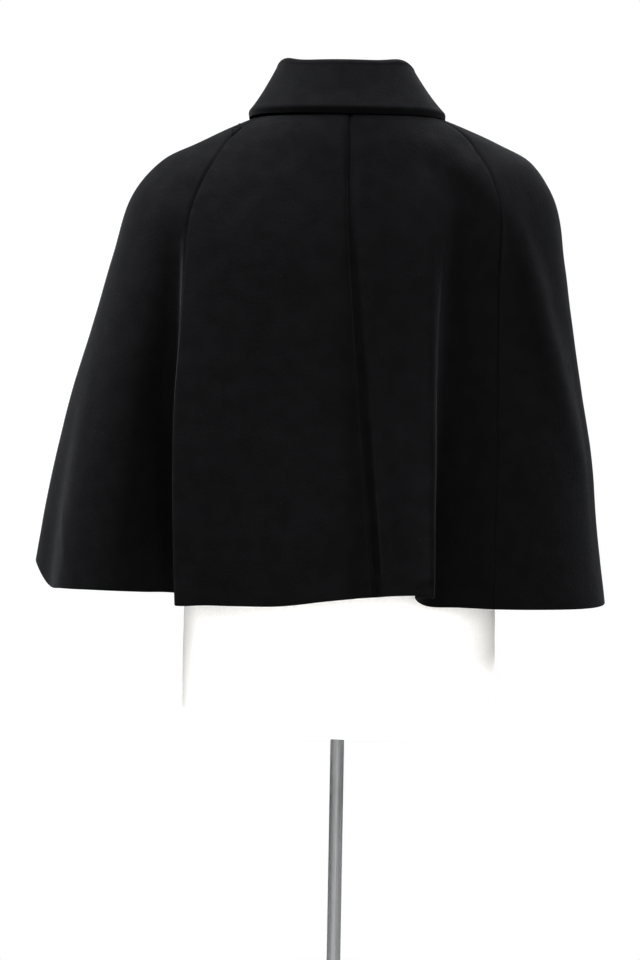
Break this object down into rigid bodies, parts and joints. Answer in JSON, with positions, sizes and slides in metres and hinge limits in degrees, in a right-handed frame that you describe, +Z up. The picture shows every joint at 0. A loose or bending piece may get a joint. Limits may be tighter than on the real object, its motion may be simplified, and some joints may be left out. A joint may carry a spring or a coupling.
{
  "type": "wool cape on a dress form",
  "caption": "Short flared wool cape with a turned-down collar and a buttoned front, hung in soft folds on a limbless dress form, on a slim pole with a round floor base.",
  "frame": {"origin": "underside of the stand's base, on the centre line of the pole", "axes": "+Z up; -Y towards someone who looks at the back of the cape; +X to the right of that viewer"},
  "size_m": [0.6265, 0.356, 1.3887],
  "materials": {
    "wool": "matt black wool coating with a short nap",
    "buttons": "black, with a dull shine",
    "jersey": "matt white knit, stretched smooth",
    "pole": "satin",
    "base": "dark, with a low sheen"
  },
  "bodies": {
    "root": {"front_left": "wool", "side_front_left": "wool", "side_back_left": "wool", "back_left": "wool", "back_right": "wool", "side_back_right": "wool", "side_front_right": "wool", "front_right": "wool", "collar": "wool", "button_1": "buttons", "button_2": "buttons", "button_3": "buttons", "button_4": "buttons", "form_body": "jersey", "base": "base", "socket": "base", "pole": "pole"}
  },
  "joints": []
}
